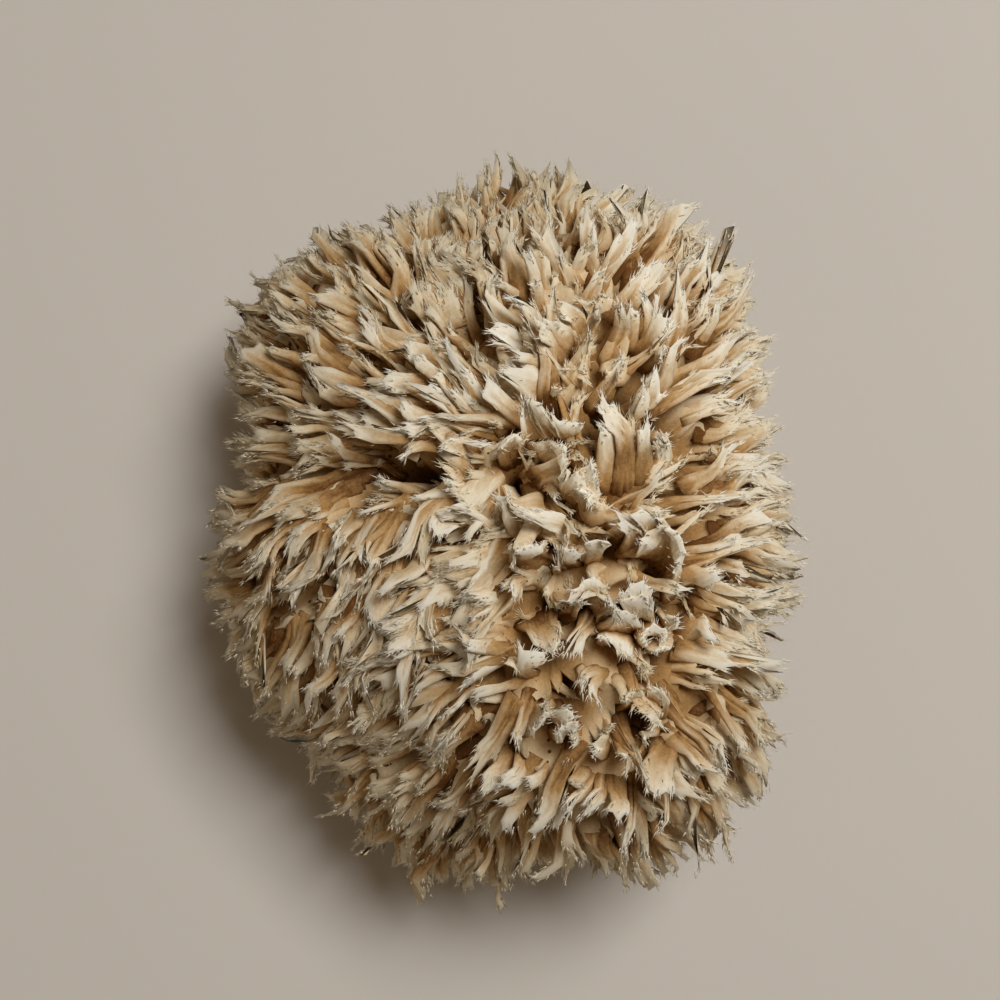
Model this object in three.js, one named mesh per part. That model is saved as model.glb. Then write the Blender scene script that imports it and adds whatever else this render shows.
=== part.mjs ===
// A natural wool sponge, dried and ready for the bath. It is one skeleton of horny fibre that grew as one piece:
// a long dome of rounded lobes, highest along a crest on its east side, with the mouths of wide water vents in it,
// sliced flat where it was cut from the rock. The solid is the sponge's outer form, out to the tips of its wool.
// Millimetres, +Z up, +Y towards the north end. The origin is in the middle of the sponge's outline, on the cut.

import * as THREE from "three";
import { ImprovedNoise } from "three/addons/math/ImprovedNoise.js";

// The heart is the point that all the lobes grew out from. Every spot on the surface can be seen from it.
const HEART = new THREE.Vector3(4, 0, 26);

// Lobes: where the middle of each one is, and how far its wool reaches from there.
const LOBES = [
  { at: [18, 24, 40], radius: 27 }, // north crest
  { at: [21, -4, 40], radius: 27.5 }, // middle crest
  { at: [17, -30, 38], radius: 28 }, // south crest
  { at: [-2, 14, 33], radius: 27 }, // north slope
  { at: [-3, -17, 30], radius: 27.5 }, // south slope
  { at: [-21, -8, 26], radius: 26.5 }, // west shoulder
  { at: [-18, 24, 24], radius: 28 }, // north-west shoulder
  { at: [4, 38, 25], radius: 23 }, // north end
  { at: [-17, -25, 20], radius: 20 }, // south-west corner
  { at: [-4, -38, 22], radius: 23 }, // south end
  { at: [30, 4, 22], radius: 18 }, // east flank
  { at: [25, -28, 20], radius: 20 }, // south-east flank
  { at: [23, 33, 20], radius: 20 }, // north-east flank
];

// The core that the lobes share. The cut goes through it, so it sets the size of the flat underside.
const CORE = { at: [2, -1, 20], halfWidth: 39, halfLength: 50, halfHeight: 33 };

// How sharply two lobes meet: a low value blends them into one swelling, a high one leaves a crease.
const CREASE = 15;

// The wool stands in clumps, which make the outer form knobbly: the height of a clump, and its width.
const CLUMP_HEIGHT = 1.5;
const CLUMP_WIDTH = 9;

// Vents: each mouth lies on a straight line from the heart, going this far east, north and up.
const VENTS = [
  { toward: [8, 7, 40], halfWidth: 4, depth: 7 },
  { toward: [8, -11, 40], halfWidth: 4, depth: 7 },
  { toward: [11, -24, 38], halfWidth: 4.5, depth: 8 },
  { toward: [21, -19, 34], halfWidth: 4.5, depth: 8 },
  { toward: [10, 29, 36], halfWidth: 4, depth: 7 },
  { toward: [-22, 8.5, 24], halfWidth: 5, depth: 8 },
  { toward: [-22, -24, 13], halfWidth: 4.5, depth: 7 },
  { toward: [34, 18, 8], halfWidth: 4.5, depth: 7 },
  { toward: [31, -12, 2], halfWidth: 4.5, depth: 7 },
  { toward: [-34, 14, 0], halfWidth: 4.5, depth: 7 },
  { toward: [-4, 44, 8], halfWidth: 4.5, depth: 7 },
  { toward: [7, -44, 6], halfWidth: 4.5, depth: 7 },
];

// The surface is an icosahedron drawn out from the heart, with its edges cut into this many facets, and one more.
const FACET_DETAIL = 18;

// Below this height a corner is part of the flat underside.
const ON_THE_CUT = 1e-3;

const softBodies = [
  ...LOBES.map(({ at, radius }) => ({
    middle: new THREE.Vector3(...at),
    halfSizes: new THREE.Vector3(radius, radius, radius),
  })),
  {
    middle: new THREE.Vector3(...CORE.at),
    halfSizes: new THREE.Vector3(CORE.halfWidth, CORE.halfLength, CORE.halfHeight),
  },
];

const vents = VENTS.map(({ toward, ...mouth }) => ({
  axis: new THREE.Vector3(...toward).normalize(),
  ...mouth,
}));

const noise = new ImprovedNoise();

// How far along a direction from the heart an egg-shaped body ends, or 0 where the direction misses it.
function distanceThrough(direction, { middle, halfSizes }) {
  const ray = direction.clone().divide(halfSizes);
  const offset = middle.clone().sub(HEART).divide(halfSizes);
  const squared = ray.lengthSq();
  const along = ray.dot(offset);
  const hit = along * along - squared * (offset.lengthSq() - 1);
  return hit > 0 ? Math.max(0, (along + Math.sqrt(hit)) / squared) : 0;
}

// The lobes and the core blended by a power mean, knobbly with clumps of wool.
function distanceToWool(direction) {
  const total = softBodies.reduce(
    (sum, body) => sum + distanceThrough(direction, body) ** CREASE,
    0,
  );
  const distance = total ** (1 / CREASE);
  const spot = direction.clone().multiplyScalar(distance / CLUMP_WIDTH);
  return distance + CLUMP_HEIGHT * noise.noise(spot.x, spot.y, spot.z);
}

// The wool's distance, less the vents, and no further than the cut.
function distanceToSurface(direction) {
  const wool = distanceToWool(direction);
  let distance = wool;
  for (const { axis, halfWidth, depth } of vents) {
    const aside = wool * direction.angleTo(axis);
    distance -= depth * Math.exp(-((aside / halfWidth) ** 4));
  }
  return direction.z < 0 ? Math.min(distance, HEART.z / -direction.z) : distance;
}

function spongeGeometry() {
  const geometry = new THREE.IcosahedronGeometry(1, FACET_DETAIL);
  const corners = geometry.getAttribute("position");
  const corner = new THREE.Vector3();
  for (let i = 0; i < corners.count; i++) {
    corner.fromBufferAttribute(corners, i).normalize();
    corner.multiplyScalar(distanceToSurface(corner)).add(HEART);
    corners.setXYZ(i, corner.x, corner.y, corner.z < ON_THE_CUT ? 0 : corner.z);
  }
  geometry.computeBoundingBox();
  const middle = geometry.boundingBox.getCenter(new THREE.Vector3());
  geometry.translate(-middle.x, -middle.y, 0);
  geometry.computeVertexNormals();
  return geometry;
}

const driedSponge = new THREE.MeshStandardMaterial({ color: 0xd6bf8e, roughness: 0.9, metalness: 0 });

const sponge = new THREE.Mesh(spongeGeometry(), driedSponge);
sponge.name = "sponge";

const part = new THREE.Group();
part.add(sponge);

export default part;
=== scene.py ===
"""A dried natural wool sponge: one horny skeleton of lobes, vents and shaggy wool, cut flat underneath.

Metres, +Z up. The sponge rests on its cut, with its crest on the east side and its long side along +Y.
"""

import math

import bpy
import numpy as np
from mathutils import Matrix, Vector


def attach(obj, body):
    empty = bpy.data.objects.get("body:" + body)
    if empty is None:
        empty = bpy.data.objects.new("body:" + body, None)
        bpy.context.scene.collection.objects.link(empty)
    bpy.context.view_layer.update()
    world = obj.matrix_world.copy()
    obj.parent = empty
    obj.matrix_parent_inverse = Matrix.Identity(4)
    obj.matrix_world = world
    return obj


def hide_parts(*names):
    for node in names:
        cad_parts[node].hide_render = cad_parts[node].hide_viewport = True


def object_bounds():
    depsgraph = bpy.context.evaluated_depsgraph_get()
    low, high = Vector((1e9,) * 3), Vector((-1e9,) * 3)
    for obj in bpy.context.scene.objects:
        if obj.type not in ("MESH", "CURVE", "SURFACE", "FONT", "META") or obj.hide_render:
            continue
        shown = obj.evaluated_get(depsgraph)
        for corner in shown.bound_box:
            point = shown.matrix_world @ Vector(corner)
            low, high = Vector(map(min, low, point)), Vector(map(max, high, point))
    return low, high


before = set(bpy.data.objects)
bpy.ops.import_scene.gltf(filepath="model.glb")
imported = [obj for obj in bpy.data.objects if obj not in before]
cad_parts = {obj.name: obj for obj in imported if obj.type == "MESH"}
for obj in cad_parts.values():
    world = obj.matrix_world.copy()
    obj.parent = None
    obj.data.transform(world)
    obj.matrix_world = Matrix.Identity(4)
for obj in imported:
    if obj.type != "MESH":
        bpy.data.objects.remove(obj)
cad_low, cad_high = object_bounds()


# -----------------------------------------------------------------------------
# The skeleton under the wool. The living sponge grew outwards from one spot, so each part of its
# surface can be seen from its heart. It is a lobed mass of fine horny fibre, folded into meandering
# walls with gaps between them. Wide vents open on the crest, and canals were cut through underneath.

MM = 0.001
HEART = np.array([3.5, 0.0, 26.0]) * MM
FORM_BLUR = 0.05  # radians: how far a corner of the solid spreads over the smooth form
CUT_HEIGHT = 0.2 * MM  # corners of the solid below this are on the flat cut
WOOL_DEPTH = 8.0 * MM  # from the tips of upright wool down to the top of the walls it grows on
FLAT_LOSS = 3.4 * MM  # how much thinner the wool is where it lies flat
WALL_SPACING = 6.6 * MM  # from one gap between walls to the next
GAP_DEPTH = 5.0 * MM
GAP_SWELL = 0.6  # how far from nought the swell is at the side of a gap
VENT_DEPTH = 15.0 * MM
CLEFT_DEPTH = 7.0 * MM
CANAL_DEPTH = 9.0 * MM
LUMP_HEIGHT = 0.28 * MM
LUMP_LENGTH = 2.4 * MM
RINGS, SPOKES = 140, 270  # the grid of the skeleton's surface, from the north pole to the south, and around

rng = np.random.default_rng(20)

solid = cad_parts["sponge"].data
corners = np.empty(len(solid.vertices) * 3)
solid.vertices.foreach_get("co", corners)
corners = np.unique(corners.reshape(-1, 3).round(6), axis=0)
corner_arms = corners[corners[:, 2] > CUT_HEIGHT] - HEART
corner_reach = np.linalg.norm(corner_arms, axis=1)
corner_arms = (corner_arms / corner_reach[:, None]).astype(np.float32)

# Vents: the way from the heart to each mouth in millimetres, and the half-width of its throat.
VENTS = np.array([
    [9.2, 6.7, 40, 2.6],
    [1.2, 6.4, 38, 1.9],
    [8.0, -10.6, 40, 2.2],
    [18.4, -8.4, 40, 1.6],
    [12.0, -21.0, 39, 2.5],
    [21.0, -21.6, 36, 2.5],
    [5.6, -29.6, 39, 1.8],
    [9.6, -34.5, 38, 2.0],
    [20.0, -34.5, 35, 2.0],
    [9.0, 24, 37, 1.6],
    [18, 17.5, 38, 2.0],
    [-22, 8.5, 24, 3.0],
    [-14, 8.5, 30, 2.4],
    [-24, -26, 14, 3.0],
    [34, 18, 8, 3.0],
    [33, 2, 18, 2.4],
    [31, -12, 2, 3.0],
    [-34, 14, 0, 3.0],
    [-4, 44, 8, 3.0],
    [7, -44, 6, 3.0],
])

# The way the wool lies, seen from above: a place in millimetres, an angle in degrees from east, and how
# flat it lies, from 0 upright to 1 along the surface.
COMBED = np.array([
    [-26, 28, 150, 0.75],
    [-12, 20, 155, 0.75],
    [-27, 10, 178, 0.85],
    [-14, 9, 182, 0.8],
    [-4, 23, 140, 0.6],
    [9, 28, 112, 0.55],
    [17, 30, 88, 0.5],
    [24, 28, 60, 0.5],
    [3, 16, 150, 0.6],
    [12, 14, 100, 0.5],
    [20, 9, 88, 0.6],
    [29, 10, 15, 0.5],
    [30, -8, 0, 0.5],
    [30, -22, -20, 0.5],
    [28, -36, -50, 0.6],
    [21, -35, -85, 0.6],
    [20, -21, -80, 0.4],
    [12, -42, -110, 0.7],
    [3, -38, 225, 0.7],
    [-5, -37, 212, 0.8],
    [-12, -29, 205, 0.8],
    [-5, -21, 198, 0.75],
    [2, -17, 205, 0.6],
    [-19, -15, 258, 0.95],
    [-26, -3, 262, 0.95],
    [-30, -14, 254, 0.95],
    [-28, 3, 256, 0.9],
    [-15, 2, 268, 0.85],
    [-12, -8, 262, 0.9],
    [-22, -24, 246, 0.9],
    [-30, -28, 222, 0.85],
    [-26, -40, 210, 0.8],
    [0, -1, 232, 0.6],
    [5, -9, 215, 0.5],
    [8, -16, 220, 0.5],
    [14, -10, 260, 0.2],
    [22, -4, 60, 0.3],
    [22, -13, 20, 0.3],
    [0, 48, 95, 0.6],
    [-22, 42, 130, 0.7],
])
COMB_WIDTH = 7 * MM  # how far each of these places has its say
COMBED_HEIGHTS = (12 * MM, 26 * MM)  # the combing comes in between them
UNCOMBED_FLATNESS = 0.6

# Clefts between lobes, seen from above in millimetres: where each one starts and ends, and its half-width.
CLEFTS = np.array([
    [-29, 8.5, -10, 8.0, 1.6],
    [-35, -13, -24, -3, 1.7],
    [-34, -25, -12, -29, 1.6],
    [-20, 30, -30, 20, 1.5],
    [30, 20, 33, -6, 1.6],
    [31, -14, 28, -34, 1.6],
])

# Canals in the cut: where each one is on the underside, and its half-width, in millimetres.
CANALS = np.array([
    [-4, 4, 4.2],
    [14, 17, 3.4],
    [-14, -14, 3.0],
    [9, -12, 2.4],
    [-2, 26, 3.0],
    [19, -4, 2.0],
    [-19, 9, 2.2],
    [3, -29, 3.4],
    [18, -24, 2.4],
    [6, 7, 1.6],
    [-12, 18, 1.8],
    [10, 31, 2.2],
    [-9, -32, 1.8],
    [-6, -8, 1.5],
    [25, 10, 1.8],
])


def unit(vectors):
    """Vectors of length one that point the same way."""
    return vectors / np.maximum(np.linalg.norm(vectors, axis=-1, keepdims=True), 1e-12)


def rising(values, start, end):
    """0 up to the start, 1 from the end on, and an even rise from one to the other."""
    return ((values - start) / (end - start)).clip(0, 1)


def outer_reach(directions):
    """Distance from the heart to the wool's tips: the mean reach of the solid's corners, each weighted
    by a bell curve of its angle from the direction."""
    found = np.empty(len(directions))
    for part in np.array_split(np.arange(len(directions)), max(1, len(directions) // 4000)):
        closeness = directions[part].astype(np.float32) @ corner_arms.T
        nearest = closeness.max(axis=1, keepdims=True)
        weights = np.exp((closeness - nearest) / FORM_BLUR**2)
        found[part] = (weights @ corner_reach) / weights.sum(axis=1)
    return found


def waves(count, length):
    """A bundle of plane waves of about one length, each with a random heading and phase."""
    headings = unit(rng.normal(size=(count, 3))) * (2 * np.pi / length)
    return headings * rng.uniform(0.75, 1.3, (count, 1)), rng.uniform(0, 2 * np.pi, count)


def swell(points, bundle):
    """The sum of a bundle of plane waves at each point, of about unit size, with its slope."""
    headings, phases = bundle
    turn = points @ headings.T + phases
    scale = math.sqrt(2 / len(phases))
    return np.sin(turn).sum(axis=-1) * scale, (np.cos(turn) @ headings) * scale


def mouths(points, arms, radii, depth):
    """How far a surface drops into round mouths: a steep-sided well around each arm from the heart."""
    reach = np.linalg.norm(points, axis=1)
    closeness = np.clip((points / reach[:, None]) @ arms.T, -1, 1)
    aside = np.arccos(closeness) * reach[:, None] / radii
    return (depth / (1 + aside**6)).max(axis=1)


def cleft_nearness(places):
    """From 0 to 1 as a place comes to the middle of a cleft: a bell curve of its distance from the cleft's
    line, in the cleft's half-widths, for places above the heart."""
    start = CLEFTS[:, :2] * MM
    line = CLEFTS[:, 2:4] * MM - start
    from_start = places[:, None, :2] - start
    share = (from_start * line).sum(axis=2) / (line**2).sum(axis=1)
    aside = np.linalg.norm(from_start - share.clip(0, 1)[..., None] * line, axis=2)
    near = np.exp(-((aside / (CLEFTS[:, 4] * MM)) ** 2)).max(axis=1)
    return near * (places[:, 2] > HEART[2])


def combing(places):
    """How the wool lies at each place: its way, which is the combed way weighted by nearness and leads away
    from the middle and downwards where nothing was combed, and how flat it lies."""
    angle = np.radians(COMBED[:, 2])
    ways = np.column_stack([np.cos(angle), np.sin(angle), np.zeros(len(angle))])
    away = np.linalg.norm(places[:, None, :2] - COMBED[:, :2] * MM, axis=2)
    weight = np.exp(-((away / COMB_WIDTH) ** 2))
    outward = unit(places * [1, 1, 0]) * [1, 0.7, 0] - [0, 0, 0.5]
    trust = weight.sum(axis=1) / (weight.sum(axis=1) + 0.05)
    trust = trust * rising(places[:, 2], *COMBED_HEIGHTS)
    way = trust[:, None] * unit(weight @ ways) + (1 - trust)[:, None] * outward
    flatness = (weight @ COMBED[:, 3]) / np.maximum(weight.sum(axis=1), 1e-9)
    return way, trust * flatness + (1 - trust) * UNCOMBED_FLATNESS


vent_arms = unit(VENTS[:, :3])
vent_radii = VENTS[:, 3] * MM
wall_waves = waves(28, WALL_SPACING * 2)
lump_waves = waves(24, LUMP_LENGTH)


def skeleton_reach(directions):
    """Distance from the heart to the skeleton: the outer form less the wool, dropped in the gaps between
    walls, which run where the swell is near nought, and dropped at the vents, clefts and canals."""
    outer = outer_reach(directions)
    spots = directions * outer[:, None]
    gap = np.abs(swell(spots, wall_waves)[0])
    wool = WOOL_DEPTH - FLAT_LOSS * combing(HEART + spots)[1]
    reach = outer - wool - GAP_DEPTH * (1 - np.exp(-((gap / GAP_SWELL) ** 2)))
    reach -= mouths(spots, vent_arms, vent_radii, VENT_DEPTH)
    reach -= CLEFT_DEPTH * cleft_nearness(HEART + spots)
    reach += LUMP_HEIGHT * swell(spots, lump_waves)[0]
    down = np.maximum(-directions[:, 2], 1e-6)
    cut = np.where(directions[:, 2] < 0, HEART[2] / down, np.inf)
    under = cut < reach
    reach = np.minimum(reach, cut)
    base = directions * np.where(under, cut, 1.0)[:, None]
    arms = np.column_stack([CANALS[:, :2] * MM - HEART[:2], np.full(len(CANALS), -HEART[2])])
    drop = mouths(base, unit(arms), CANALS[:, 2] * MM, CANAL_DEPTH)
    return np.where(under, reach - drop, reach)


def scene_object(name, data):
    """An object at the origin that holds a mesh, a lamp or a camera."""
    held = bpy.data.objects.new(name, data)
    bpy.context.scene.collection.objects.link(held)
    return held


def mesh_piece(name, points, quads, triangles):
    """A smooth mesh object at the origin from arrays of points, quads and triangles."""
    mesh = bpy.data.meshes.new(name)
    loops = np.concatenate([quads.ravel(), triangles.ravel()]).astype(np.int32)
    sizes = np.concatenate([np.full(len(quads), 4), np.full(len(triangles), 3)])
    starts = np.concatenate([[0], np.cumsum(sizes)[:-1]]).astype(np.int32)
    mesh.vertices.add(len(points))
    mesh.vertices.foreach_set("co", points.astype(np.float32).ravel())
    mesh.loops.add(len(loops))
    mesh.loops.foreach_set("vertex_index", loops)
    mesh.polygons.add(len(sizes))
    mesh.polygons.foreach_set("loop_start", starts)
    mesh.update(calc_edges=True)
    mesh.shade_smooth()
    return scene_object(name, mesh)


def wrap_faces(rings, spokes):
    """Faces of a closed wrap: each ring of points is joined to the next, and the first and last ring to an
    end point each, which come after the rings."""
    ring, spoke = np.meshgrid(np.arange(rings - 1), np.arange(spokes), indexing="ij")
    following = (spoke + 1) % spokes
    near, far = ring * spokes, (ring + 1) * spokes
    quads = np.stack([near + spoke, near + following, far + following, far + spoke], axis=-1)
    around = np.arange(spokes)
    after = (around + 1) % spokes
    last = (rings - 1) * spokes
    first_cap = np.column_stack([np.full(spokes, rings * spokes), after, around])
    last_cap = np.column_stack([np.full(spokes, rings * spokes + 1), last + around, last + after])
    return quads.reshape(-1, 4), np.vstack([first_cap, last_cap])


polar = np.linspace(0, np.pi, RINGS + 2)[1:-1, None]
spin = np.linspace(0, 2 * np.pi, SPOKES, endpoint=False)[None, :]
north = np.cos(polar) * np.ones_like(spin)
skeleton_arms = np.stack([np.sin(polar) * np.cos(spin), north, np.sin(polar) * np.sin(spin)], axis=-1)
skeleton_arms = np.vstack([skeleton_arms.reshape(-1, 3), [[0, 1, 0], [0, -1, 0]]])
skeleton_points = HEART + skeleton_arms * skeleton_reach(skeleton_arms)[:, None]
skeleton_points[:, 2] = np.maximum(skeleton_points[:, 2], 0)
skeleton = mesh_piece("skeleton", skeleton_points, *wrap_faces(RINGS, SPOKES))


def new_material(name):
    """A material, with its nodes, its links and its shader."""
    material = bpy.data.materials.new(name)
    material.use_nodes = True
    nodes = material.node_tree.nodes
    return material, nodes, material.node_tree.links, nodes["Principled BSDF"]


def new_node(nodes, kind, settings):
    """A node of this kind, with some of its inputs set."""
    node = nodes.new(kind)
    for name, value in settings.items():
        node.inputs[name].default_value = value
    return node


def ramp(nodes, *stops):
    """A colour ramp with these stops, each a place from 0 to 1 and a linear colour."""
    node = nodes.new("ShaderNodeValToRGB")
    band = node.color_ramp
    band.elements[0].position, band.elements[0].color = stops[0][0], (*stops[0][1], 1)
    band.elements[1].position, band.elements[1].color = stops[-1][0], (*stops[-1][1], 1)
    for place, colour in stops[1:-1]:
        band.elements.new(place).color = (*colour, 1)
    return node


def own_value(nodes, name, output="Fac"):
    """What a piece says in one of its own attributes."""
    node = nodes.new("ShaderNodeAttribute")
    node.attribute_name = name
    return node.outputs[output]


def weighted_sum(nodes, links, value, weight, base):
    """A node that adds a value times a fixed weight to a base value."""
    node = nodes.new("ShaderNodeMath")
    node.operation = "MULTIPLY_ADD"
    node.inputs[1].default_value = weight
    links.new(value, node.inputs[0])
    links.new(base, node.inputs[2])
    return node.outputs["Value"]


def rough_normal(nodes, links, height, distance, strength):
    """A bump that stands this far out of the surface where the height is 1."""
    node = new_node(nodes, "ShaderNodeBump", {"Distance": distance, "Strength": strength})
    links.new(height, node.inputs["Height"])
    return node.outputs["Normal"]


def tinted(nodes, links, share, under, over):
    """A colour mixed towards a fixed one by a share from 0 to 1."""
    node = nodes.new("ShaderNodeMix")
    node.data_type = "RGBA"
    links.new(share, node.inputs["Factor"])
    links.new(under, node.inputs[6])
    node.inputs[7].default_value = over
    return node.outputs[2]


def horn_group():
    """The horn that the sponge is made of. Its paleness, which carries painted shade as well as the horn's
    own colour, goes from 0 in the depths to 1 in the light, and it turns from amber to straw, mottled by a
    felt of fine fibre.
    It puts out the colour and the felt."""
    group = bpy.data.node_groups.new("horn", "ShaderNodeTree")
    group.interface.new_socket("Paleness", in_out="INPUT", socket_type="NodeSocketFloat")
    group.interface.new_socket("Color", in_out="OUTPUT", socket_type="NodeSocketColor")
    group.interface.new_socket("Felt", in_out="OUTPUT", socket_type="NodeSocketFloat")
    nodes, links = group.nodes, group.links
    given = nodes.new("NodeGroupInput")
    result = nodes.new("NodeGroupOutput")
    place = nodes.new("ShaderNodeTexCoord")
    felt = new_node(nodes, "ShaderNodeTexNoise", {"Scale": 2300, "Detail": 3, "Roughness": 0.7})
    links.new(place.outputs["Object"], felt.inputs["Vector"])
    mottled = weighted_sum(nodes, links, felt.outputs["Fac"], weight=0.35, base=given.outputs["Paleness"])
    tint = ramp(
        nodes,
        (0.10, (0.15, 0.062, 0.017)),
        (0.45, (0.47, 0.275, 0.105)),
        (0.85, (0.73, 0.575, 0.360)),
        (1.00, (0.82, 0.715, 0.520)),
    )
    links.new(mottled, tint.inputs["Fac"])
    links.new(tint.outputs["Color"], result.inputs["Color"])
    links.new(felt.outputs["Fac"], result.inputs["Felt"])
    return group


horn = horn_group()


def waxy(shader):
    """Sets a shader to dull, soft horn."""
    shader.inputs["Roughness"].default_value = 0.85
    shader.inputs["Specular IOR Level"].default_value = 0.08


def skeleton_material():
    """Horn with pores of several sizes painted dark as painted shade in the holes, and darker the deeper it
    lies, painted shade over the horn's own amber.
    """
    material, nodes, links, shader = new_material("sponge skeleton")
    tissue = nodes.new("ShaderNodeGroup")
    tissue.node_tree = horn
    links.new(own_value(nodes, "shallow"), tissue.inputs["Paleness"])
    place = nodes.new("ShaderNodeTexCoord")
    cells = new_node(nodes, "ShaderNodeTexVoronoi", {"Scale": 560})
    links.new(place.outputs["Object"], cells.inputs["Vector"])
    size = nodes.new("ShaderNodeSeparateColor")
    links.new(cells.outputs["Color"], size.inputs["Color"])
    width = new_node(nodes, "ShaderNodeMapRange", {"From Min": 0.55, "To Min": 0.0, "To Max": 0.22})
    links.new(size.outputs["Red"], width.inputs["Value"])
    pores = nodes.new("ShaderNodeMath")
    pores.operation = "LESS_THAN"
    links.new(cells.outputs["Distance"], pores.inputs[0])
    links.new(width.outputs["Result"], pores.inputs[1])
    # Painted shade: the pores are painted near-black, standing in for the shade inside the holes.
    dark = (0.14, 0.06, 0.018, 1)
    pitted = tinted(nodes, links, pores.outputs["Value"], under=tissue.outputs["Color"], over=dark)
    links.new(pitted, shader.inputs["Base Color"])
    felted = rough_normal(nodes, links, tissue.outputs["Felt"], distance=0.18 * MM, strength=0.5)
    links.new(felted, shader.inputs["Normal"])
    waxy(shader)
    return material


# Painted shade: the skeleton is painted darker the deeper it lies below the outer form, in the gaps, vents
# and canals, over the horn's own amber.
PALEST = 0.9  # at the first of these depths in millimetres; it is 1 less at the second
PALEST_DEPTH, DARK_DEPTH = 4, 14
shallow = skeleton.data.attributes.new("shallow", "FLOAT", "POINT")
skeleton_depth = outer_reach(skeleton_arms) - np.linalg.norm(skeleton_points - HEART, axis=1)
paleness = PALEST - (skeleton_depth / MM - PALEST_DEPTH) / (DARK_DEPTH - PALEST_DEPTH)
shallow.data.foreach_set("value", paleness.clip(0, 1).astype(np.float32))
skeleton.data.materials.append(skeleton_material())
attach(skeleton, "root")
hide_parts("sponge")


# -----------------------------------------------------------------------------
# The wool. It grows from the walls as blades of horn, each made of ribs that are fused side by side.
# The ribs part near the tip, and each one frays there into bleached bristles.

TUFT_SPACING = 2.85 * MM  # between the blades of the long coat
UNDER_SPACING = 4.4 * MM  # between those of the short coat
TRESS_SPACING = 8 * MM
CLUMP_LENGTH = 13 * MM  # of the waves in the coat's length
SWAY_LENGTH, SWAY = 9 * MM, 0.8 * MM  # of the bends that neighbouring blades share
KINK_LENGTH, KINK = 4 * MM, 0.25 * MM
LONG_LENGTHS = (5 * MM, 22 * MM)
SHORT_LENGTHS = (4 * MM, 8 * MM)
SHORT_WIDTH = 1.3 * MM
LAID_FLATNESS = (0.72, 0.88)  # between them the wool turns into a smooth coat
CREST_HEIGHTS = (52 * MM, 62 * MM)  # between them it turns into the crest's wild wool
RIB_WIDTH = 0.68 * MM
BROAD_RIB_WIDTH = 0.8 * MM  # in blades that stand out
ROOT_DEPTH = 2.0 * MM  # how deep a blade is rooted below the top of its wall
LOWEST_BLADE = 2.0 * MM
MOUTH_MARGIN = 1.1  # in half-widths of a vent: no blade grows nearer to its middle
CLEFT_MARGIN = 0.45  # nor nearer to a cleft than this

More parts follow.
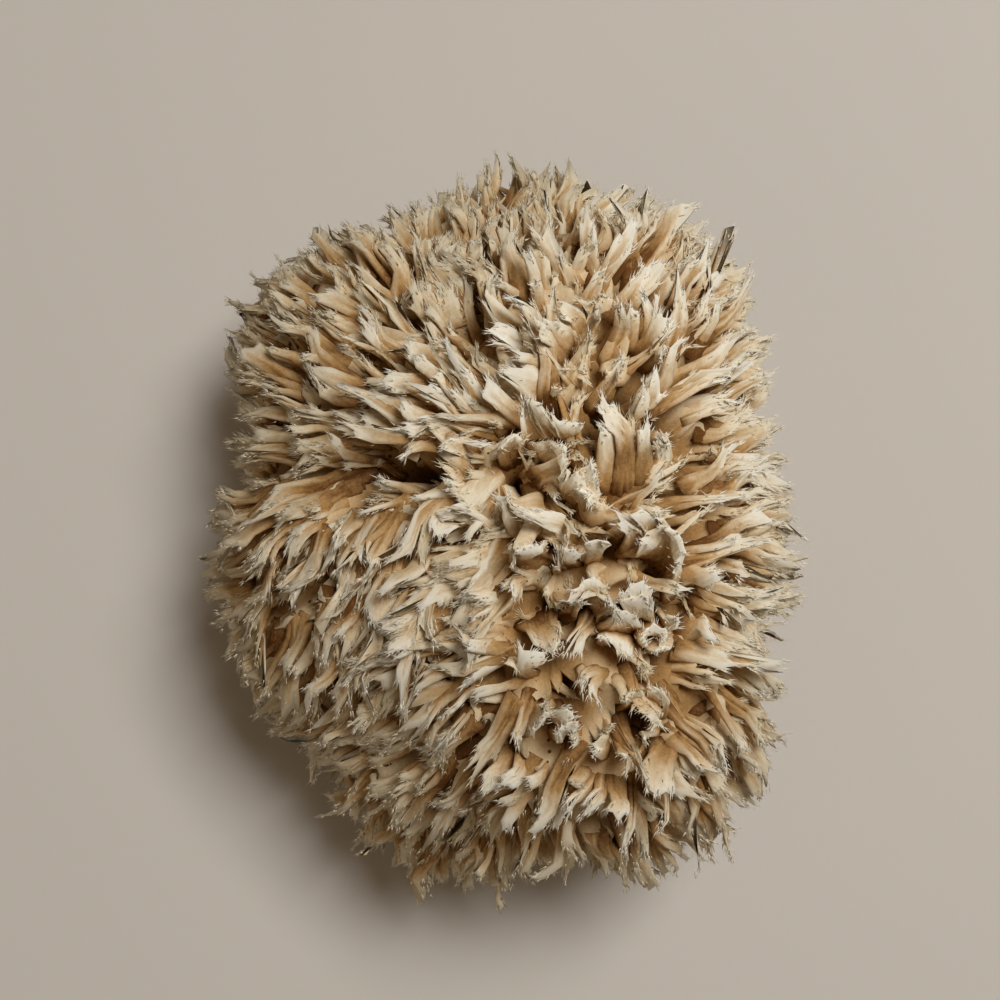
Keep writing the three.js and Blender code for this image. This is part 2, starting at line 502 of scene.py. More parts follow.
# Blades that stand out on the crest, seen from above in millimetres: the place of each root and tip, its
# width, how far its sides are folded (half-turns of an arc; 1 is a closed cup), and its height.
STANDING = np.array([
    [9.0, 22.4, 3.0, 29.2, 3.2, 0.1, 8],
    [6.6, 22.4, 0.3, 25.1, 2.6, 0.1, 8],
    [9.0, 18.8, 4.1, 22.1, 2.3, 0.0, 8],
    [10.0, 15.2, 1.7, 20.6, 3.4, -0.1, 8],
    [7.3, 12.5, -1.0, 17.2, 2.6, 0.1, 8],
    [11.7, 20.6, 8.5, 23.5, 2.0, 0.1, 9],
    [12.3, 22.4, 10.0, 27.1, 2.0, 0.0, 9],
    [14.5, 26.5, 12.3, 30.3, 4.0, 0.3, 9],
    [17.2, 25.3, 16.0, 31.3, 3.5, -0.3, 9],
    [19.6, 23.3, 19.9, 28.8, 3.5, 0.1, 9],
    [23.3, 23.3, 23.7, 29.0, 2.6, 0.3, 9],
    [22.5, 22.0, 26.6, 26.4, 3.0, -0.2, 9],
    [22.0, 22.0, 26.6, 21.4, 3.5, -0.4, 9],
    [9.6, 10.6, 9.0, 14.8, 9.0, 0.12, 9],
    [17.2, 3.0, 16.4, 12.0, 2.6, -0.1, 8],
    [19.6, 3.0, 19.2, 13.6, 2.8, 0.1, 8],
    [22.0, 3.4, 22.4, 12.4, 2.4, -0.1, 8],
    [24.2, 4.4, 25.4, 10.6, 2.2, 0.0, 8],
    [18.2, 9.0, 17.6, 17.2, 2.2, 0.1, 8],
    [21.0, 9.6, 21.6, 16.6, 2.4, 0.1, 8],
    [23.7, 10.4, 26.4, 6.9, 1.8, 0.0, 8],
    [3.9, 8.6, 3.4, 9.6, 4.2, 0.2, 9],
    [8.4, 8.2, 9.5, 9.4, 6.5, 0.05, 9],
    [11.8, 1.4, 13.0, 2.8, 10.0, 0.06, 9],
    [12.2, -3.9, 5.5, 1.3, 3.0, 0.1, 9],
    [5.0, -3.2, 1.0, -0.2, 2.5, 0.1, 9],
    [1.0, -2.0, -2.8, -1.0, 2.0, 0.0, 8],
    [6.6, -9.2, 5.6, -6.3, 6.0, -0.4, 9],
    [14.6, -12.6, 14.8, -11.6, 9.0, 0.75, 9],
    [12.2, -8.4, 11.9, -7.0, 4.2, 0.3, 9],
    [15.6, -8.2, 15.2, -5.6, 2.0, 0.0, 9],
    [22.5, -5.5, 21.5, -1.2, 5.5, 0.2, 9],
    [25.0, -7.4, 26.2, -6.2, 9.0, 0.5, 9],
    [23.4, -17.6, 23.4, -17.0, 8.0, 0.8, 9],
    [19.0, -17.6, 19.0, -16.4, 5.5, 0.1, 9],
    [24.5, -17.0, 27.2, -16.2, 3.0, 0.1, 9],
    [24.0, -18.6, 24.6, -20.6, 4.5, -0.4, 9],
    [22.0, -15.5, 22.5, -13.4, 4.0, 0.2, 9],
    [21.0, -13.2, 21.5, -11.4, 3.0, -0.2, 9],
    [7.0, -16.8, 9.3, -21.0, 5.0, 0.15, 8],
    [15.2, -16.6, 11.8, -22.4, 3.0, 0.1, 8],
    [19.3, -19.2, 17.8, -21.6, 5.0, -0.3, 9],
    [5.8, -25.0, 5.4, -21.2, 3.6, -0.2, 9],
    [3.0, -21.2, -2.3, -20.2, 1.8, 0.0, 8],
    [9.0, -29.4, 9.2, -28.4, 10.0, 0.75, 9],
    [11.4, -31.2, 11.4, -30.8, 6.0, 0.8, 9],
    [13.0, -33.2, 12.6, -33.2, 2.0, 0.1, 9],
    [16.8, -33.2, 15.6, -33.2, 5.0, 0.05, 9],
    [22.0, -28.2, 22.4, -25.6, 7.0, 0.4, 9],
    [23.6, -27.6, 21.4, -30.8, 4.2, -0.2, 9],
    [25.0, -35.0, 24.6, -40.0, 3.0, 0.1, 8],
    [23.6, -31.8, 21.4, -35.0, 1.8, 0.0, 8],
    [20.2, -33.4, 18.8, -38.6, 3.4, 0.1, 8],
    [13.6, -37.8, 12.4, -41.6, 2.0, 0.1, 8],
    [15.6, -39.4, 9.8, -44.0, 2.2, 0.0, 8],
    [18.0, -39.0, 18.4, -45.2, 2.6, 0.1, 8],
    [16.6, -39.0, 14.2, -45.2, 2.2, 0.0, 8],
    [5.6, -36.0, 3.0, -40.2, 2.3, 0.1, 8],
    [4.0, -36.6, -0.6, -41.0, 4.0, 0.1, 8],
    [10.0, -37.0, 5.0, -40.0, 1.8, 0.0, 8],
    [-7.6, 22.6, -14.4, 24.0, 3.6, 0.1, 7],
    [-7.0, 18.4, -14.4, 19.2, 3.4, 0.1, 7],
    [-11.0, 12.8, -19.5, 14.0, 2.2, 0.0, 7],
    [-17.0, 8.8, -31.0, 9.8, 3.6, 0.1, 7],
    [-7.6, 12.8, -13.0, 15.4, 2.0, 0.0, 7],
    [-7.6, 10.4, -14.6, 8.2, 2.4, 0.1, 7],
    [-2.4, 8.2, -5.8, 10.6, 3.4, 0.1, 8],
    [-3.4, 5.2, -6.2, 2.8, 2.6, 0.1, 8],
    [-5.4, -0.4, -8.0, -5.6, 3.2, 0.1, 8],
])

ROWS = np.array([0.0, 0.25, 0.50, 0.73, 0.91, 1.0])  # where a blade has its rows of points, root to tip
OPEN_SEAMS = 0.25  # the share of the seams that are open far down
FINGER_REACH = 0.08  # how much the fingers differ in reach, in lengths of their blade
FINGER_CURL = 0.6 * MM  # how far a finger's tip curls off its blade
BRISTLES = 12  # on each rib
BRISTLE_LENGTHS = (0.6 * MM, 1.6 * MM)
BRISTLE_HALF_WIDTHS = (0.05 * MM, 0.14 * MM)

# Painted light and shade on the wool: what faces outward near the tips is painted bleached, and the rest is
# left amber, painted darker where it faces inward or lies deep among the wool.
MOST_BLEACHED = 2.7  # at a tip in full painted light; 1 is white, so the white runs down the blade
MAP_SQUARE = 0.055  # of the map that finds overshadowed wool: about 2 mm on the crest
SHADE_DEPTH = 5.0 * MM  # over this depth below the highest wool around it, a point goes out of the light
LEAST_OPEN = 0.1  # the painted light that is left that deep
LEAST_PAINTED_LIGHT = 0.25  # on wool that faces inward
SIDE_PAINTED_LIGHT, MORE_OUTWARD = 0.55, 0.7  # on wool that faces sideways, and what facing outward adds
FLUFF_FACING = 0.4  # fluff is lit from all sides, as if it faced outward at least this much
SHADE_TONE = 2.2  # how far painted shade lowers the tone, from full painted light to none
LEAN, TIP_LEAN, LEAN_FADE = 0.3, 0.25, 3 * MM  # of shading normals: everywhere, more at a tip, and its fade


def spiral(spacing):
    """Directions spread evenly over a ball by the golden angle, about this far apart on the outer form."""
    count = int(4 * np.pi * corner_reach.mean() ** 2 / spacing**2)
    height = 1 - (2 * np.arange(count) + 1) / count
    angle = np.arange(count) * np.pi * (3 - math.sqrt(5))
    level = np.sqrt(1 - height**2)
    return np.column_stack([level * np.cos(angle), level * np.sin(angle), height])


def form_normals(directions):
    """Outward normals of the outer form, from its reach a little to either side."""
    side = unit(np.cross(directions, np.array([0.3, 0.5, 0.8])))
    other = np.cross(directions, side)
    ends = []
    for offset in (side, -side, other, -other):
        arms = unit(directions + 0.04 * offset)
        ends.append(arms * outer_reach(arms)[:, None])
    return unit(np.cross(ends[0] - ends[1], ends[2] - ends[3]))


def onto_walls(directions):
    """Directions moved towards the nearest wall, in two steps down the swell's slope, each 1.2 mm at most."""
    spots = directions * outer_reach(directions)[:, None]
    gentlest = (0.35 * np.pi / WALL_SPACING) ** 2
    for _ in range(2):
        value, slope = swell(spots, wall_waves)
        slope -= (slope * directions).sum(axis=1, keepdims=True) * directions
        shift = -(value / np.maximum((slope**2).sum(axis=1), gentlest))[:, None] * slope
        length = np.linalg.norm(shift, axis=1, keepdims=True)
        spots = spots + 0.6 * shift * np.minimum(1, 2.0 * MM / np.maximum(length, 1e-9))
    return unit(spots)


def form_height(plan):
    """Height of the outer form over a place seen from above, closed in on from both sides."""
    low = np.full(len(plan), HEART[2])
    high = np.full(len(plan), HEART[2] + 60 * MM)  # well above the crest
    for _ in range(24):
        middle = (low + high) / 2
        arms = np.column_stack([plan, middle]) - HEART
        length = np.linalg.norm(arms, axis=1)
        inside = length < outer_reach(arms / length[:, None])
        low, high = np.where(inside, middle, low), np.where(inside, high, middle)
    return low


def coat(spacing, long_coat):
    """Blades spread over the outer form: for each its bed, control point and tip, its side, width and fold.
    The long coat grows from the walls out to the form; the short one grows anywhere, to about half the way.
    A blade sets out between the form's normal and the combed way, and leans further over as it grows. It is
    as long as it takes to reach the form at that lean, longer where it lies flat and down a flank, and it is
    shortened where it would pass the form."""
    arms = spiral(spacing)
    arms = unit(arms + rng.normal(size=arms.shape) * 0.3 * spacing / corner_reach.mean())
    if long_coat:
        arms = onto_walls(arms)
    outer = outer_reach(arms)
    places = HEART + arms * outer[:, None]
    blocked = mouths(arms * outer[:, None], vent_arms, vent_radii * MOUTH_MARGIN, 1.0) > 0.5
    blocked |= cleft_nearness(places) > CLEFT_MARGIN
    blocked |= places[:, 2] < LOWEST_BLADE
    if long_coat:  # it leaves room for the blades that stand out
        away = np.linalg.norm(places[:, None, :2] - STANDING[:, 2:4] * MM, axis=2)
        away = np.minimum(away, np.linalg.norm(places[:, None, :2] - STANDING[:, 0:2] * MM, axis=2) + 1 * MM)
        taken = (away < (1.2 + STANDING[:, 4] * 0.26) * MM).any(axis=1)
        blocked |= taken & (places[:, 2] > HEART[2])
    way, flatness = combing(places)
    laid = rising(flatness, *LAID_FLATNESS)
    crest = rising(places[:, 2], *CREST_HEIGHTS)
    if long_coat:
        blocked |= rng.uniform(size=len(arms)) < 0.4 * laid + 0.25 * crest
    kept = (v[~blocked] for v in (arms, outer, places, way, flatness, laid, crest))
    arms, outer, places, way, flatness, laid, crest = kept
    count = len(arms)
    normals = form_normals(arms)
    way = unit(way - (way * normals).sum(axis=1, keepdims=True) * normals)
    base = skeleton_reach(arms)
    if long_coat:
        base = np.minimum(base, outer - WOOL_DEPTH + FLAT_LOSS * flatness)
    bed = HEART + arms * (base - ROOT_DEPTH)[:, None]
    flat = (flatness * rng.uniform(0.8, 1.1, count)).clip(0, 1)[:, None]
    if not long_coat:
        flat = flat * 0.7
    shake = unit(rng.normal(size=(count, 3)))
    start_shake = (0.2 + 0.15 * crest)[:, None] * shake
    finish_shake = (0.34 + 0.2 * crest)[:, None] * shake
    start = unit((1 - 0.72 * flat) * normals + (0.1 + 0.8 * flat) * way + start_shake)
    finish = unit((1 - 1.02 * flat) * normals + (0.3 + 0.9 * flat) * way + finish_shake)
    rise = ((start + finish) / 2 * normals).sum(axis=1)
    need = ((places - bed) * normals).sum(axis=1)
    clumped = 1 + 0.16 * swell(places, clump_waves)[0].clip(-1.5, 1.2)
    length = need / np.maximum(rise, 0.42) * rng.uniform(0.72, 1.06, count) * clumped
    if long_coat:
        length = (length * (1 + 0.4 * laid)).clip(*LONG_LENGTHS)
    else:
        length = (0.55 * length).clip(*SHORT_LENGTHS)
    end = bed + (start + finish) * length[:, None] / 2 - HEART
    end_reach = np.linalg.norm(end, axis=1)
    bed_reach = np.linalg.norm(bed - HEART, axis=1)
    allowed = outer_reach(end / end_reach[:, None]) + 0.4 * MM - bed_reach
    length /= ((end_reach - bed_reach) / np.maximum(allowed, 1e-4)).clip(1, 2)
    control = bed + start * length[:, None] / 2
    tip = control + finish * length[:, None] / 2
    tip, control = gathered(tip, control)
    tip, control = parted_at_vents(bed, control, tip)
    wall_way = unit(np.cross(swell(places, wall_waves)[1], normals))
    across_way = unit(np.cross(normals, way))
    wall_way *= np.sign((wall_way * across_way).sum(axis=1, keepdims=True) + 1e-9)
    twist = (0.25 + 0.25 * crest)[:, None] * unit(rng.normal(size=(count, 3)))
    side = across_way + (0.9 * crest)[:, None] * wall_way + twist
    width = (rng.gamma(7.0, 1 / 7.0, count) * (1.8 + 0.3 * crest - 0.15 * laid)).clip(1.0, 3.0) * MM
    if not long_coat:
        width = np.full(count, SHORT_WIDTH)
    curled = rng.choice([0, 0.35, -0.35, 0.6], size=count, p=[0.6, 0.15, 0.15, 0.1]) * crest
    return bed, control, tip, unit(side), width, (rng.normal(0, 0.16, count) + curled) * np.pi


def gathered(tip, control):
    """Tips and control points drawn towards the middle of their tress, the one nearest to the tip."""
    parts = np.array_split(tip, 8)
    nearest = [np.linalg.norm(part[:, None] - tress_middles, axis=2).argmin(axis=1) for part in parts]
    nearest = np.concatenate(nearest)
    pull = (tress_middles[nearest] - tip) * tress_pull[nearest][:, None]
    return tip + pull, control + 0.35 * pull


def parted_at_vents(bed, control, tip):
    """Tips and control points kept off the mouths of the vents. Seen along a vent, a blade whose way from bed
    to tip comes nearer the vent's middle than its rim has its tip set on the rim, on the blade's own side."""
    rim = (1.15 * vent_radii + 0.7 * MM)[:, None]
    asides = []
    for points in (bed, tip):
        from_heart = points - HEART
        along = (from_heart @ vent_arms.T)[..., None]
        asides.append(from_heart[:, None] - along * vent_arms)
    bed_aside, tip_aside = asides
    way = tip_aside - bed_aside
    squared = np.maximum((way**2).sum(axis=2, keepdims=True), 1e-12)
    share = -(bed_aside * way).sum(axis=2, keepdims=True) / squared
    nearest = np.linalg.norm(bed_aside + share.clip(0, 1) * way, axis=2, keepdims=True)
    same_side = ((tip - HEART) @ vent_arms.T > 0)[..., None]
    crossing = (nearest < rim) & same_side
    push = (crossing * (unit(bed_aside) * rim - tip_aside)).sum(axis=1)
    return tip + push, control + 0.5 * push


def standing_blades():
    """The blades that stand out, rooted below the outer form at the place of each root."""
    root_plan, tip_plan = STANDING[:, 0:2] * MM, STANDING[:, 2:4] * MM
    bed = np.column_stack([root_plan, form_height(root_plan) - STANDING[:, 6] * MM - ROOT_DEPTH])
    tip = np.column_stack([tip_plan, form_height(tip_plan) + 0.5 * MM])
    up = form_normals(unit(bed - HEART))
    chord = tip - bed
    control = bed + 0.5 * chord + 0.22 * np.linalg.norm(chord, axis=1, keepdims=True) * up
    control -= 0.18 * chord * [1, 1, 0]
    side = unit(np.cross(up, chord * [1, 1, 0]))
    return bed, control, tip, side, STANDING[:, 4] * MM, STANDING[:, 5] * np.pi


clump_waves = waves(20, CLUMP_LENGTH)
tress_arms = spiral(TRESS_SPACING)
tress_arms = unit(tress_arms + rng.normal(size=tress_arms.shape) * 0.4 * TRESS_SPACING / corner_reach.mean())
tress_middles = HEART + tress_arms * (outer_reach(tress_arms) - 0.5 * MM)[:, None]
tress_pull = rng.uniform(0.0, 0.35, len(tress_middles))
coats = (coat(TUFT_SPACING, True), coat(UNDER_SPACING, False), standing_blades())
bed, control, tip, side, blade_width, fold = (np.concatenate(parts) for parts in zip(*coats))
fold = np.where(np.abs(fold) < 0.02, 0.02, fold)
blades = len(bed)
stands = np.arange(blades) >= blades - len(STANDING)
ribs = np.round(blade_width / np.where(stands, BROAD_RIB_WIDTH, RIB_WIDTH)).astype(int).clip(2, 13)
half_width = blade_width / 2
half_thick = rng.uniform(0.60, 0.95, blades) * MM * np.minimum(1, 0.45 + blade_width / (5 * MM))
groove = np.where(stands, 0.84, 0.92)
taper = np.where(stands, 0.2, rng.uniform(0.2, 0.6, blades))
parting = rng.uniform(0.6, 1.4, blades)
tone = rng.uniform(0, 1, blades)

# The tips are bleached, the more so the nearer they are to the outer form and the higher they stand; the fall
# with depth below the form is partly painted shade among the wool.
UNBLEACHED = 3.0 * MM  # over this depth below the outer form, bleaching falls from full to none
UPLAND_HEIGHTS = (40 * MM, 58 * MM)
tip_depth = outer_reach(unit(tip - HEART)) - np.linalg.norm(tip - HEART, axis=1)
upland = rising(tip[:, 2], *UPLAND_HEIGHTS)
bleach_and_painted_light = (1.15 - tip_depth / UNBLEACHED).clip(0, 1) * rng.uniform(0.55, 1.0, blades) * (0.35 + 0.65 * upland)
bleach_length = (4.0 + 4.0 * upland) * MM  # how far down from its tip a blade is bleached
blade_length = np.linalg.norm(control - bed, axis=1) + np.linalg.norm(tip - control, axis=1)
sway_waves = [waves(16, SWAY_LENGTH) for _ in range(3)]
kink_waves = [waves(16, KINK_LENGTH) for _ in range(3)]


def blade_faces(columns):
    """Faces of one closed blade, whose rings go up its front columns and back down its back ones: quads
    between rings, and a strip across the root and the tip."""
    around = 2 * columns - 2
    row, step = np.meshgrid(np.arange(len(ROWS) - 1), np.arange(around), indexing="ij")
    after = (step + 1) % around
    low, high = row * around, (row + 1) * around
    quads = np.stack([low + step, high + step, high + after, low + after], axis=-1).reshape(-1, 4)
    front = np.arange(columns)
    back = (-front) % around
    strip = np.column_stack([front[1:-2], front[2:-1], back[2:-1], back[1:-2]])
    ends = np.array([[0, 1, back[1]], [columns - 1, back[columns - 2], columns - 2]])
    top = (len(ROWS) - 1) * around
    quads = np.vstack([quads, strip, strip[:, ::-1] + top])
    return quads, np.vstack([ends, ends[:, ::-1] + top])


def blade_points(chosen, rib_count):
    """Points of the chosen blades, all with as many ribs. A blade follows a curve drawn from its bed past its
    control point to its tip. Across it run columns of points on an arc, one on each rib and one on each seam
    beside a rib. Ribs are thick; seams are thin and end sooner. Here and there a seam is open far down, which
    parts the ribs into fingers, and each finger reaches and curls in its own way. The blade is widest at its
    root and narrows on a quarter of an oval towards its tip; its edges are rounded, and its tip is blunt."""
    count = len(chosen)
    columns = 2 * rib_count + 1
    across = -np.cos(np.linspace(0, np.pi, columns))
    across = 0.5 * across + 0.5 * np.linspace(-1, 1, columns)
    on_seam = np.arange(columns) % 2 == 0
    parted = rng.uniform(size=(count, rib_count - 1)) < OPEN_SEAMS
    finger = np.concatenate([np.zeros((count, 1), dtype=int), np.cumsum(parted, axis=1)], axis=1)
    finger_reach = np.take_along_axis(rng.normal(0, FINGER_REACH, (count, rib_count)), finger, axis=1)
    rounded = np.where(stands[chosen], 0.20, 0.34)[:, None]
    rib_reach = 1 - rounded * across[1::2] ** 2 + finger_reach + rng.normal(0, 0.012, (count, rib_count))
    beside = np.pad(rib_reach, ((0, 0), (1, 1)), mode="edge")
    drop = rng.uniform(0.0, 0.025, (count, rib_count + 1))
    deeply = 1 + 0.8 * stands[chosen][:, None]
    drop[:, 1:-1] += parted * rng.uniform(0.08, 0.28, parted.shape) * deeply
    reach = np.empty((count, columns))
    reach[:, 0::2] = np.minimum(beside[:, :-1], beside[:, 1:]) - drop * parting[chosen][:, None]
    reach[:, 1::2] = rib_reach
    pitch = (half_width[chosen] / rib_count)[:, None]
    sizes = np.stack([np.full_like(pitch, FINGER_CURL), 0.25 * pitch], axis=-1)
    finger_curl = rng.normal(size=(count, rib_count, 2)) * sizes
    rib_curl = np.take_along_axis(finger_curl, finger[..., None], axis=1)
    rib_curl = rib_curl + rng.normal(size=(count, rib_count, 2)) * sizes * 0.2
    curl_beside = np.pad(rib_curl, ((0, 0), (1, 1), (0, 0)), mode="edge")
    curl = np.empty((count, columns, 2))
    curl[:, 0::2] = (curl_beside[:, :-1] + curl_beside[:, 1:]) / 2
    curl[:, 1::2] = rib_curl

    t = (reach[:, :, None] * ROWS)[..., None]
    a, b, c = (points[chosen][:, None, None] for points in (bed, control, tip))
    spine = a * (1 - t) ** 2 + b * 2 * t * (1 - t) + c * t**2
    heading = unit((b - a) * (1 - t) + (c - b) * t)
    flat = side[chosen][:, None, None]
    flat = unit(flat - (flat * heading).sum(axis=-1, keepdims=True) * heading)
    deep = np.cross(heading, flat)
    wide = half_width[chosen][:, None, None, None]
    narrowed = taper[chosen][:, None, None, None] * (1 - np.sqrt(1 - 0.95 * np.minimum(t, 1) ** 2))
    wide = wide * (1.08 + 0.6 * np.exp(-((t / 0.24) ** 2)) - narrowed)
    bend = fold[chosen][:, None, None, None]
    turn = bend * across[None, :, None, None]
    sheet = spine + flat * wide * np.sin(turn) / bend + deep * wide * (1 - np.cos(turn)) / bend
    outward = deep * np.cos(turn) - flat * np.sin(turn)
    sheet = sheet + (outward * curl[:, :, None, :1] + flat * curl[:, :, None, 1:]) * t**3
    sheet = sheet + np.stack([swell(sheet, bundle)[0] for bundle in sway_waves], axis=-1) * SWAY * t
    sheet = sheet + np.stack([swell(sheet, bundle)[0] for bundle in kink_waves], axis=-1) * KINK * t
    thick = half_thick[chosen][:, None, None, None] * (1 + 1.4 * np.exp(-((t / 0.22) ** 2)) - 0.4 * t)
    seam_thick = groove[chosen][:, None, None, None] - 0.14 * t**2
    profile = np.where(on_seam[None, :, None, None], seam_thick, 1.0)
    rim = np.sqrt(1 - np.abs(across) ** 2.4)[None, :, None, None]
    blunt = np.interp(ROWS, [0.7, 0.9, 1.0], [1.0, 0.85, 0.3])[None, None, :, None]
    push = outward * thick * profile * rim * blunt
    push[:, [0, -1]] = 0
    front, back = sheet + push, sheet - push

    def around(values):
        """Values on the front columns, then on the back ones, as rings from the root up."""
        both = np.concatenate([values[0], values[1][:, -2:0:-1]], axis=1)
        return both.swapaxes(1, 2)

    ring = around((front, back))
    left = (reach[:, :, None] * (1 - ROWS)) * blade_length[chosen][:, None, None]
    # Millimetres across and along the blade, and a layer of the noise for each blade.
    over = across[None, :, None] * half_width[chosen][:, None, None] / MM
    along = t[..., 0] * blade_length[chosen][:, None, None] / MM
    grain = np.stack(np.broadcast_arrays(over, along, tone[chosen][:, None, None] * 50), axis=-1)
    rib_ends = sheet[:, :, [-3, -1]]
    return ring, around((left, left)), around((grain, grain)), rib_ends, flat[:, :, -1], outward[:, :, -1]


def bristle_points(ends, flat, outward, gap):
    """Spikes on each rib, most of them near its end: three corners around a foot, and a point. The spikes lie
    almost along the rib, and those further back stand off its faces as fluff. It also gives each corner's
    distance from the rib's end."""
    shape = (*ends.shape[:2], BRISTLES)
    heading = unit(ends[:, :, 1] - ends[:, :, 0])[:, :, None]
    spread = rng.normal(size=(*shape, 2, 1))
    back = 1.5 * rng.beta(0.6, 1.9, (*shape, 1))
    foot = ends[:, :, 1][:, :, None] * (1 - back) + ends[:, :, 0][:, :, None] * back - heading * 0.15 * MM
    foot = foot + flat[:, :, None] * spread[..., 0, :].clip(-1.5, 1.5) * 0.6 * gap[:, None, None, None]
    foot = foot + outward[:, :, None] * spread[..., 1, :].clip(-1.2, 1.2) * (0.22 + 0.30 * back) * MM
    aim = heading + 0.16 * flat[:, :, None] * spread[..., 0, :]
    aim = aim + (0.18 + 0.15 * back) * outward[:, :, None] * spread[..., 1, :]
    aim = unit(unit(aim) + 0.06 * rng.normal(size=aim.shape))
    reach = rng.uniform(*BRISTLE_LENGTHS, (*shape, 1))
    thick = rng.uniform(*BRISTLE_HALF_WIDTHS, (*shape, 1))
    one = unit(np.cross(aim, np.array([0.31, 0.52, 0.79])))
    two = np.cross(aim, one)
    thirds = (0, 2 * math.pi / 3, 4 * math.pi / 3)
    feet = [foot + thick * (one * math.cos(angle) + two * math.sin(angle)) for angle in thirds]
    spikes = np.stack([*feet, foot + aim * reach], axis=3).reshape(-1, 3)
    rib_end = np.linalg.norm(ends[:, :, 1] - ends[:, :, 0], axis=-1)[:, :, None, None]
    from_end = np.stack([back * rib_end] * 3 + [0 * back], axis=3)
    return spikes, from_end.reshape(len(ends), -1)


def overshadowed(points):
    """How far each point lies below the highest wool around it. The ways from the heart are laid out on a
    flat map that keeps areas, each drawn out from the middle by the root of 2 over 1 plus its height. The
    map is cut into small squares, and each square keeps the reach of the highest point in it."""
    ways = unit(points - HEART)
    reaches = np.linalg.norm(points - HEART, axis=1)
    square = ((ways[:, :2] * np.sqrt(2 / (1.02 + ways[:, 2:])) + 2.1) / MAP_SQUARE).astype(int)
    highest = np.zeros((math.ceil(4.2 / MAP_SQUARE) + 1,) * 2)
    np.maximum.at(highest, (square[:, 0], square[:, 1]), reaches)
    return highest[square[:, 0], square[:, 1]] - reaches


def whiteness(from_tip, chosen):
    """How white the points of the chosen blades can be, a row for each blade: most at the tip, and falling
    on a curve to none at the end of the blade's bleached length."""
    pale = (1 - from_tip / bleach_length[chosen][:, None]).clip(0, 1)
    return MOST_BLEACHED * pale**1.6 * bleach_and_painted_light[chosen][:, None]


def wool_piece(name, members):
    """One mesh of many blades with their bristles, made in batches of blades with as many ribs. Its painted
    light is how far each point faces outward, times how near it lies to the highest wool around it. It scales
    the bleaching, and where it is low it lowers the tone as painted shade. Its shading normals lean outward,
    most of all near the tips, because light soaks through the thin horn."""
    points, quads, triangles, left, grain, tones, whitened, fluff = [], [], [], [], [], [], [], []
    total = 0
    for rib_count in np.unique(ribs[members]):
        chosen = members[ribs[members] == rib_count]
        columns = 2 * rib_count + 1
        ring, to_tip, fibre, rib_ends, flat, outward = blade_points(chosen, rib_count)
        local = ring.shape[1] * ring.shape[2]
        first = total + np.arange(len(chosen))[:, None, None] * local
        blade_quads, blade_triangles = blade_faces(columns)
        points.append(ring.reshape(-1, 3))
        quads.append((blade_quads + first).reshape(-1, 4))
        triangles.append((blade_triangles + first).reshape(-1, 3))
        left.append(to_tip.ravel())
        grain.append(fibre.reshape(-1, 3))
        tones.append(tone[chosen].repeat(local))
        whitened.append(whiteness(to_tip.reshape(len(chosen), -1), chosen).ravel())
        fluff.append(np.zeros(len(chosen) * local, dtype=bool))
        total += len(chosen) * local
        on_rib = np.s_[:, 1::2]
        gap = half_width[chosen] / rib_count
        spikes, from_end = bristle_points(rib_ends[on_rib], flat[on_rib], outward[on_rib], gap)
        spike_count = len(spikes) // 4
        spike_first = total + np.arange(spike_count)[:, None, None] * 4
        spike_faces = np.array([[0, 1, 3], [1, 2, 3], [2, 0, 3], [2, 1, 0]])
        points.append(spikes)
        triangles.append((spike_faces + spike_first).reshape(-1, 3))
        left.append(from_end.ravel())
        grain.append(np.full((len(spikes), 3), 0.37))
        tones.append(tone[chosen].repeat(rib_count * BRISTLES * 4))
        whitened.append(whiteness(from_end, chosen).ravel())
        fluff.append(np.ones(len(spikes), dtype=bool))
        total += len(spikes)
    points = np.concatenate(points)
    points[:, 2] = np.maximum(points[:, 2], 0.1 * MM)
    piece = mesh_piece(name, points, np.concatenate(quads), np.concatenate(triangles))
    own = np.empty(len(points) * 3, dtype=np.float32)
    piece.data.vertex_normals.foreach_get("vector", own)
    own = own.reshape(-1, 3)
    outward = unit(points - HEART)
    facing = (own * outward).sum(axis=1)
    # Painted light and shade: more where the wool faces outward and stands near the top of the wool around
    # it; where it is less, the tips stay amber and the tone is painted darker.
    lit_facing = np.where(np.concatenate(fluff), np.maximum(facing, FLUFF_FACING), facing)
    painted_light = (SIDE_PAINTED_LIGHT + MORE_OUTWARD * lit_facing).clip(LEAST_PAINTED_LIGHT, 1)
    painted_light = painted_light * (1.15 - overshadowed(points) / SHADE_DEPTH).clip(LEAST_OPEN, 1)
    to_tip = np.concatenate(left)
    tone_and_painted_shade = np.concatenate(tones) - SHADE_TONE * (1 - painted_light)
    labelled = (("to_tip", to_tip / MM), ("tone", tone_and_painted_shade), ("bleach_and_painted_light", np.concatenate(whitened) * painted_light))
    for label, values in labelled:
        attribute = piece.data.attributes.new(label, "FLOAT", "POINT")
        attribute.data.foreach_set("value", values.astype(np.float32))
    attribute = piece.data.attributes.new("grain", "FLOAT_VECTOR", "POINT")
    attribute.data.foreach_set("vector", np.concatenate(grain).astype(np.float32).ravel())
    lean = (LEAN + TIP_LEAN * np.exp(-to_tip / LEAN_FADE)) * (1 + facing.clip(-1, 0))
    soft = unit(own * (1 - lean[:, None]) + outward * lean[:, None])
    piece.data.normals_split_custom_set_from_vertices(soft)
    return piece


PALING_LENGTH = 9.0  # a blade is painted paler over this many millimetres, up to its tip: partly its own colour, partly painted shade towards the root
TIP_PALENESS = 0.80
STREAKS, OWN_TONE = 0.4, 0.16  # how much the fibre and the blade's own tone add to the paleness
CREAM = (0.92, 0.88, 0.77, 1)


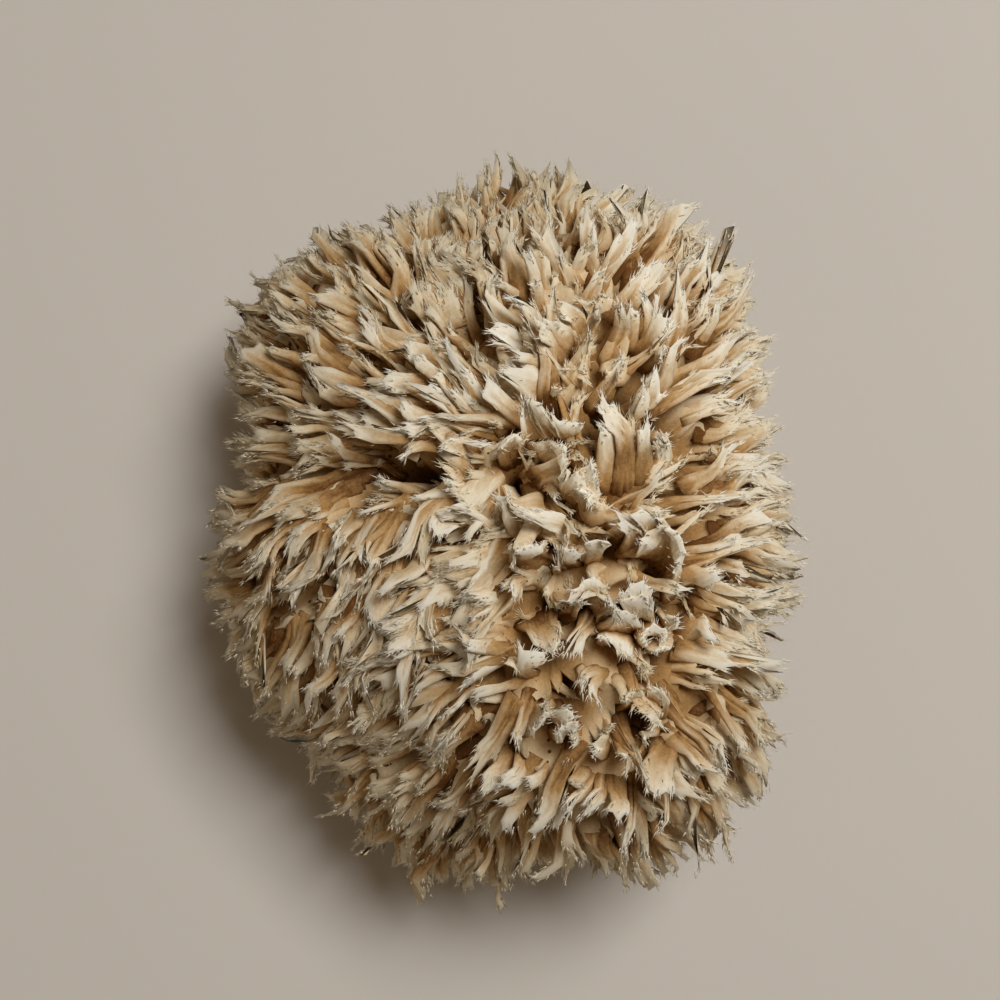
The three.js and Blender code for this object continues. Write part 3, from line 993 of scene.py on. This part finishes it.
def wool_material():
    """Horn that pales along the blade, partly its own colour and partly painted shade towards the root,
    streaked along its ribs, and bleached cream where it frays, the bleaching scaled by painted light.
    """
    material, nodes, links, shader = new_material("sponge wool")
    stretch = new_node(nodes, "ShaderNodeMapping", {"Scale": (2.8, 0.8, 1.0)})
    links.new(own_value(nodes, "grain", "Vector"), stretch.inputs["Vector"])
    fibre = new_node(nodes, "ShaderNodeTexNoise", {"Scale": 1.0, "Detail": 2.0})
    links.new(stretch.outputs["Vector"], fibre.inputs["Vector"])
    paling = {"From Min": 0.0, "From Max": PALING_LENGTH, "To Min": TIP_PALENESS, "To Max": 0.0}
    nearness = new_node(nodes, "ShaderNodeMapRange", paling)
    links.new(own_value(nodes, "to_tip"), nearness.inputs["Value"])
    streaked = weighted_sum(nodes, links, fibre.outputs["Fac"], STREAKS, nearness.outputs["Result"])
    # The tone attribute holds each blade's own tone, lowered by the painted shade from wool_piece.
    varied = weighted_sum(nodes, links, own_value(nodes, "tone"), OWN_TONE, streaked)
    tissue = nodes.new("ShaderNodeGroup")
    tissue.node_tree = horn
    links.new(varied, tissue.inputs["Paleness"])
    exposed = nodes.new("ShaderNodeMath")
    exposed.operation = "MULTIPLY"
    exposed.use_clamp = True
    links.new(own_value(nodes, "bleach_and_painted_light"), exposed.inputs[0])
    links.new(fibre.outputs["Fac"], exposed.inputs[1])
    bleached = tinted(nodes, links, exposed.outputs["Value"], under=tissue.outputs["Color"], over=CREAM)
    links.new(bleached, shader.inputs["Base Color"])
    ridged = rough_normal(nodes, links, fibre.outputs["Fac"], distance=0.12 * MM, strength=0.3)
    links.new(ridged, shader.inputs["Normal"])
    waxy(shader)
    return material


wool_finish = wool_material()
WOOL_PIECES = 5
bearing = np.arctan2(tip[:, 1] - HEART[1], tip[:, 0] - HEART[0])
load = np.cumsum(ribs[np.argsort(bearing)] + 1.0)
share = np.empty(blades, dtype=int)
share[np.argsort(bearing)] = (load / load[-1] * WOOL_PIECES).astype(int).clip(0, WOOL_PIECES - 1)
for number in range(WOOL_PIECES):
    piece = wool_piece(f"wool_{number + 1}", np.flatnonzero(share == number))
    piece.data.materials.append(wool_finish)
    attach(piece, "root")


# -----------------------------------------------------------------------------
# The studio: a pale floor, soft light from above and the north-east, and a camera that looks down.

VIEW_DISTANCE = 230 * MM
FRAME_WIDTH = 141 * MM  # what the picture takes in at the height of the crest
SENSOR_WIDTH = 36  # in millimetres


def area_light(name, place, target, size, watts, colour):
    """A soft square lamp at a place, turned to face a target."""
    lamp = bpy.data.lights.new(name, "AREA")
    lamp.size, lamp.energy, lamp.color = size, watts, colour
    holder = scene_object(name, lamp)
    holder.location = place
    holder.rotation_euler = (Vector(target) - Vector(place)).to_track_quat("-Z", "Y").to_euler()


def floor_material():
    """A matt, pale, warm grey board, very slightly mottled."""
    material, nodes, links, shader = new_material("pale floor")
    mottle = new_node(nodes, "ShaderNodeTexNoise", {"Scale": 6})
    tint = ramp(nodes, (0.3, (0.64, 0.60, 0.55)), (0.7, (0.68, 0.64, 0.59)))
    links.new(mottle.outputs["Fac"], tint.inputs["Fac"])
    links.new(tint.outputs["Color"], shader.inputs["Base Color"])
    shader.inputs["Roughness"].default_value = 0.8
    return material


FLOOR_REACH = 3.0
floor_mesh = bpy.data.meshes.new("floor")
floor_corners = [(x * FLOOR_REACH, y * FLOOR_REACH, 0) for x, y in ((-1, -1), (1, -1), (1, 1), (-1, 1))]
floor_mesh.from_pydata(floor_corners, [], [(0, 1, 2, 3)])
floor = scene_object("floor", floor_mesh)
floor_mesh.materials.append(floor_material())

area_light("key", (0.42, 0.33, 1.05), (0, 0, 0.05), size=0.45, watts=9.7, colour=(1.0, 0.985, 0.96))
area_light("fill", (-0.60, -0.50, 0.80), (0, 0, 0.03), size=0.8, watts=0.5, colour=(1.0, 0.85, 0.64))

world = bpy.data.worlds.new("studio")
world.use_nodes = True
world.node_tree.nodes["Background"].inputs["Color"].default_value = (1.0, 0.73, 0.46, 1)
world.node_tree.nodes["Background"].inputs["Strength"].default_value = 0.10
bpy.context.scene.world = world
bpy.context.scene.view_settings.view_transform = "Standard"

camera_data = bpy.data.cameras.new("camera")
camera = scene_object("camera", camera_data)
camera_data.sensor_width = SENSOR_WIDTH
camera_data.lens = SENSOR_WIDTH * VIEW_DISTANCE / FRAME_WIDTH
look_at = Vector((2 * MM, 0, cad_high[2]))
camera.location = look_at + Vector((8, -21, 229)) * MM
backward = (camera.location - look_at).normalized()
rightward = Vector((0, 1, 0)).cross(backward).normalized()
camera.rotation_euler = Matrix((rightward, backward.cross(rightward), backward)).transposed().to_euler()
bpy.context.scene.camera = camera
